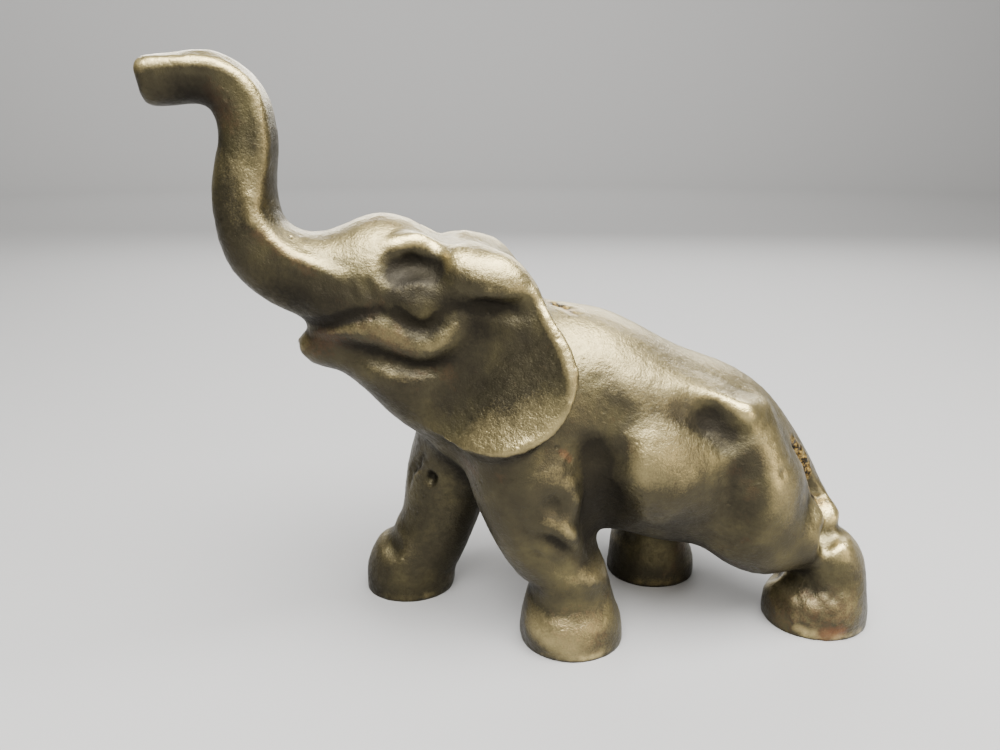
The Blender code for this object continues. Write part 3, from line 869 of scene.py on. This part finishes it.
def bronze():
    """Dark patina over bronze, rubbed bright on the high forms, with painted highlights on upward
    faces and painted shade in hollows and beneath.
    """
    material, tree, shader = shader_of("patinated_bronze")
    nodes, link = tree.nodes, tree.links.new
    place = nodes.new("ShaderNodeTexCoord").outputs["Object"]

    def grain(scale, detail, rough=0.6):
        made = nodes.new("ShaderNodeTexNoise")
        made.inputs["Scale"].default_value = scale
        made.inputs["Detail"].default_value = detail
        made.inputs["Roughness"].default_value = rough
        link(place, made.inputs["Vector"])
        return made.outputs["Fac"]

    def ramp(value, stops):
        made = nodes.new("ShaderNodeValToRGB")
        link(value, made.inputs["Fac"])
        elements = made.color_ramp.elements
        while len(elements) < len(stops):
            elements.new(0.5)
        for element, (at, colour) in zip(elements, stops):
            element.position = at
            element.color = (*colour, 1)
        return made.outputs["Color"]

    def mixed(factor, first, second):
        made = nodes.new("ShaderNodeMix")
        made.data_type = "RGBA"
        for socket, value in (("Factor_Float", factor), ("A_Color", first), ("B_Color", second)):
            target = next(s for s in made.inputs if s.identifier == socket)
            if isinstance(value, bpy.types.NodeSocket):
                link(value, target)
            else:
                target.default_value = value
        return next(s for s in made.outputs if s.identifier == "Result_Color")

    def ranged(value, low, high, start=0.0, end=1.0):
        made = nodes.new("ShaderNodeMapRange")
        link(value, made.inputs["Value"])
        limits = {"From Min": start, "From Max": end, "To Min": low, "To Max": high}
        for name, number in limits.items():
            made.inputs[name].default_value = number
        return made.outputs["Result"]

    def sum_of(operation, first, second):
        made = nodes.new("ShaderNodeMath")
        made.operation = operation
        for socket, value in zip(made.inputs, (first, second)):
            if isinstance(value, bpy.types.NodeSocket):
                link(value, socket)
            else:
                socket.default_value = value
        return made.outputs["Value"]

    read = nodes.new("ShaderNodeAttribute")
    read.attribute_name = WEAR_AND_LIGHT_LAYER
    parts = nodes.new("ShaderNodeSeparateColor")
    link(read.outputs["Color"], parts.inputs["Color"])
    worn_and_lit, hollow, copper = parts.outputs["Red"], parts.outputs["Green"], parts.outputs["Blue"]
    raw = read.outputs["Alpha"]

    patches = grain(PATCHES, 5)
    sand = grain(SAND, 3, 0.7)
    fine = grain(FINE_SAND, 2, 0.6)
    brown = ramp(patches, [(0.3, PATINA_DARK), (0.5, PATINA), (0.72, PATINA_OLIVE)])
    # Edges and full forms rubbed bright, with a painted highlight on upward faces and on bright
    # places
    rub_and_highlight = ranged(sum_of("ADD", worn_and_lit, ranged(fine, -0.2, 0.2)), 0, 1, 0.12, 0.95)
    colour = mixed(rub_and_highlight, brown, (*WORN_AND_LIT, 1))
    rust = ranged(grain(RUST_CLOUDS, 6, 0.75), 0, 0.6, 0.6, 0.76)
    colour = mixed(rust, colour, (*RED_BROWN, 1))
    bare = ranged(sum_of("ADD", copper, ranged(sand, -0.4, 0.4)), 0, 0.65, 0.1, 1)
    colour = mixed(bare, colour, (*COPPER, 1))
    earth = ramp(sand, [(0.42, DIRT_AND_SHADE), (0.5, RAW_EARTH), (0.6, RAW_SAND)])
    earthy = ranged(sum_of("ADD", raw, ranged(patches, -0.3, 0.3)), 0, 0.95, 0.15, 0.5)
    colour = mixed(earthy, colour, earth)
    # Painted shade over creases, hollows, undersides and the low far legs
    painted_shade_mix = ranged(sum_of("ADD", hollow, ranged(sand, -0.3, 0.3)), 0, 0.88, 0.15, 0.9)
    colour = mixed(painted_shade_mix, colour, (*DIRT_AND_SHADE, 1))
    link(colour, shader.inputs["Base Color"])
    shader.inputs["Metallic"].default_value = METALLIC
    rough = sum_of("ADD", ranged(sand, 0.33, 0.47, 0.3, 0.7), sum_of("MULTIPLY", rub_and_highlight, -0.08))
    rough = sum_of("ADD", rough, sum_of("MULTIPLY", painted_shade_mix, 0.25))
    link(rough, shader.inputs["Roughness"])

    pits = nodes.new("ShaderNodeTexVoronoi")
    pits.inputs["Scale"].default_value = PITS
    link(place, pits.inputs["Vector"])
    deep = ranged(pits.outputs["Distance"], 1, 0, 0.05, 0.3)
    pit = sum_of("MULTIPLY", deep, ranged(grain(PITTED_PARTS, 3), 0, 1, 0.55, 0.7))
    height = sum_of("ADD", sum_of("MULTIPLY", sand, 0.6), sum_of("MULTIPLY", fine, 0.25))
    height = sum_of("SUBTRACT", height, sum_of("MULTIPLY", pit, 0.8))
    bump = nodes.new("ShaderNodeBump")
    bump.inputs["Strength"].default_value = BUMP_STRENGTH
    bump.inputs["Distance"].default_value = BUMP_DEPTH
    link(height, bump.inputs["Height"])
    link(bump.outputs["Normal"], shader.inputs["Normal"])
    return material


def weathered_and_lit(piece):
    """Writes how each point is rubbed bright and takes a painted highlight, how deep it lies in
    painted shade, and how coppery and raw it is, for the bronze to read.
    """
    clay = Clay(piece.data)
    start = clay.points.copy()
    clay.smooth(GRAIN_ROUNDS)
    even = clay.points.copy()
    normals = clay.normals()
    clay.smooth(EDGE_ROUNDS)
    edge = np.einsum("ij,ij->i", even - clay.points, normals) / STEP
    clay.smooth(FORM_ROUNDS)
    form = np.einsum("ij,ij->i", even - clay.points, normals) / STEP
    clay.points = start
    clay.store()
    up = normals[:, 2]
    worn_and_lit = EDGE_WEAR * (edge - EDGE_START) + FORM_WEAR * (form - FORM_START)
    # Painted shade in creases and hollows and on downward faces
    hollow = -EDGE_SHADE * edge - FORM_SHADE * form - UNDER_SHADE * up
    values = {
        # painted highlight on upward faces, added to the rubbed edges and full forms
        "worn_and_lit": worn_and_lit + TOP_HIGHLIGHT * (up - TOP_HIGHLIGHT_START),
        "hollow": np.clip(hollow, 0, 1),
        "copper": np.zeros(len(up)),
        "raw": np.zeros(len(up)),
    }
    for name, sides, reach, strength, path in PATINA_AND_LIGHT_PLACES:
        for side in sides:
            values[name] += strength * clay.brush(reach, mirrored(path, side))
    # Painted shade on the low parts of the far legs and the inner sides of the near legs
    low_down = np.clip(1 - start[:, 2] / LEG_TOP, 0, 1)
    shaded_legs = low_down * np.clip((start[:, 1] + HALF_WIDTH) / HALF_WIDTH, 0, 1)
    values["hollow"] += FAR_LEG_SHADE * shaded_legs
    values["worn_and_lit"] *= np.clip(start[:, 2] / SOLE_EDGE, 0, 1)
    # Painted shade dims the rubbed bronze and the painted highlights
    values["worn_and_lit"] *= np.clip(1 - SHADE_HIDES * values["hollow"], 0, 1)
    layer = piece.data.attributes.new(WEAR_AND_LIGHT_LAYER, "FLOAT_COLOR", "POINT")
    values = np.clip(np.stack(list(values.values()), axis=1), 0, 1)
    layer.data.foreach_set("color", values.astype(np.float32).ravel())


def sculpted():
    piece = fused("elephant_casting", masses())
    modelled(piece)
    cut_soles(piece.data)
    piece.data.shade_smooth()
    weathered_and_lit(piece)
    thinned(piece)
    kept_inside(piece.data, *CAD_BOX)
    piece.data.materials.clear()
    piece.data.materials.append(bronze())
    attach(piece, "root")
    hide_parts("elephant")
    return piece


# The floor, the light and the camera

CAMERA_PLACE = (-0.0292, -0.1764, 0.1159)
CAMERA_PITCH = np.radians(17)
CAMERA_YAW = np.radians(6.5)
LENS = 28.8
SENSOR = 36.0
NEAREST = 0.01

FLOOR_FLAT = 1.6
FLOOR_BEND = 0.6
FLOOR_WALL = 1.2
FLOOR_SIDES = 96
FLOOR_BEND_POINTS = 12
FLOOR_COLOUR = (0.26, 0.256, 0.25)
FLOOR_ROUGHNESS = 0.75

# Lamps: name, place, target, size, power and colour

MIDDLE = (0, 0, 0.06)
WHITE = (1, 1, 1)
LAMPS = [
    ("top_light", (0.05, -0.2, 0.6), MIDDLE, (0.8, 0.5), 29, WHITE),
    ("back_light", (0.1, 0.6, 0.36), MIDDLE, (0.9, 0.25), 6, WHITE),
    ("side_light", (0.5, -0.5, 0.16), MIDDLE, (0.3, 0.25), 2, (1, 0.88, 0.7)),
    ("front_light", (-0.1, -0.8, 0.44), MIDDLE, (0.9, 0.35), 2.6, (1, 0.95, 0.86)),
    ("wall_light", (0, 1, 1.3), (0, 2.2, 0.5), (1.6, 0.5), 50, WHITE),
    ("wall_light", (0, -1, 1.3), (0, -2.2, 0.5), (1.6, 0.5), 18, WHITE),
]
AIR_COLOUR = (0.75, 0.78, 0.8)
AIR_STRENGTH = 0.12


def sweep():
    """A pale floor that turns up into a wall all round."""
    floor = bpy.data.objects.new("floor", bpy.data.meshes.new("floor"))
    bpy.context.scene.collection.objects.link(floor)
    turn = np.linspace(0, np.pi / 2, FLOOR_BEND_POINTS)
    profile = [(FLOOR_FLAT / 4, 0), (FLOOR_FLAT, 0)]
    profile += [
        (FLOOR_FLAT + FLOOR_BEND * np.sin(a), FLOOR_BEND * (1 - np.cos(a))) for a in turn[1:]
    ]
    profile += [(FLOOR_FLAT + FLOOR_BEND, FLOOR_BEND + FLOOR_WALL)]
    shape = bmesh.new()
    middle = shape.verts.new((0, 0, 0))
    angles = np.arange(FLOOR_SIDES) * 2 * np.pi / FLOOR_SIDES
    rings = []
    for radius, height in profile:
        circle = [(radius * np.cos(a), radius * np.sin(a), height) for a in angles]
        rings.append([shape.verts.new(point) for point in circle])
    for i in range(FLOOR_SIDES):
        j = (i + 1) % FLOOR_SIDES
        shape.faces.new((middle, rings[0][i], rings[0][j]))
        for low, high in zip(rings, rings[1:]):
            shape.faces.new((low[i], high[i], high[j], low[j]))
    shape.to_mesh(floor.data)
    shape.free()
    floor.data.shade_smooth()
    material, _, shader = shader_of("pale_floor")
    shader.inputs["Base Color"].default_value = (*FLOOR_COLOUR, 1)
    shader.inputs["Roughness"].default_value = FLOOR_ROUGHNESS
    floor.data.materials.append(material)


def lamp(name, place, target, size, power, colour):
    light = bpy.data.lights.new(name, "AREA")
    light.shape = "RECTANGLE"
    light.size, light.size_y = size
    light.energy = power
    light.color = colour
    held = bpy.data.objects.new(name, light)
    held.location = place
    held.rotation_euler = (Vector(target) - Vector(place)).to_track_quat("-Z", "Y").to_euler()
    bpy.context.scene.collection.objects.link(held)


def studio():
    for row in LAMPS:
        lamp(*row)
    world = bpy.data.worlds.new("studio")
    world.use_nodes = True
    air = world.node_tree.nodes["Background"]
    air.inputs["Color"].default_value = (*AIR_COLOUR, 1)
    air.inputs["Strength"].default_value = AIR_STRENGTH
    bpy.context.scene.world = world


def camera():
    lens = bpy.data.cameras.new("camera")
    lens.lens = LENS
    lens.sensor_width = SENSOR
    lens.clip_start = NEAREST
    held = bpy.data.objects.new("camera", lens)
    held.location = CAMERA_PLACE
    held.rotation_euler = (np.pi / 2 - CAMERA_PITCH, 0, -CAMERA_YAW)
    bpy.context.scene.collection.objects.link(held)
    bpy.context.scene.camera = held


sculpted()
sweep()
studio()
camera()
